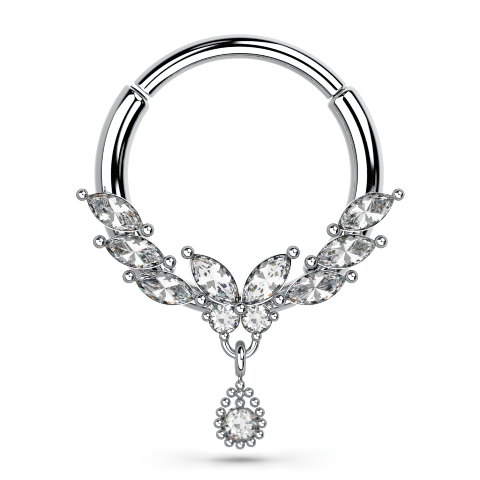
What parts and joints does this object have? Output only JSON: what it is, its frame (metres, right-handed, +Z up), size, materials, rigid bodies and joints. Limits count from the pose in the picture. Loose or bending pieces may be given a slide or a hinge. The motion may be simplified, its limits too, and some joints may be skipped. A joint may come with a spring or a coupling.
{
  "type": "septum ring",
  "caption": "Hinged septum clicker ring in polished steel, with a winged row of pointed oval clear stones, round stones below them and a small teardrop that swings from a loop.",
  "frame": {"origin": "middle of the hinged bar, on its centre line, where the ring hangs in the piercing", "axes": "+X to the right as seen from the front, -Y the front with the stones, +Z up"},
  "size_m": [0.0156, 0.003, 0.0198],
  "materials": {
    "steel": "mirror-polished surgical steel",
    "crystal": "clear cubic zirconia, cut and polished"
  },
  "bodies": {
    "ring": {"ring_body": "steel", "hinge_pin": "steel", "marquise_left_1": "crystal", "marquise_left_2": "crystal", "marquise_left_3": "crystal", "marquise_right_1": "crystal", "marquise_right_2": "crystal", "marquise_right_3": "crystal", "leaf_left": "crystal", "leaf_right": "crystal", "round_left": "crystal", "round_right": "crystal"},
    "clicker_bar": {"hinged_bar": "steel"},
    "drop": {"drop_setting": "steel", "drop_stone": "crystal"}
  },
  "joints": [
    {"name": "bar_hinge", "type": "hinge", "parent": "ring", "child": "clicker_bar", "pos_m": [-0.0053, 0, -0.00242], "axis": [0, -1, 0], "range_deg": [0, 75]},
    {"name": "drop_swing", "type": "hinge", "parent": "ring", "child": "drop", "pos_m": [0, -0.00135, -0.01474], "axis": [1, 0, 0], "range_deg": [-75, 75]}
  ]
}
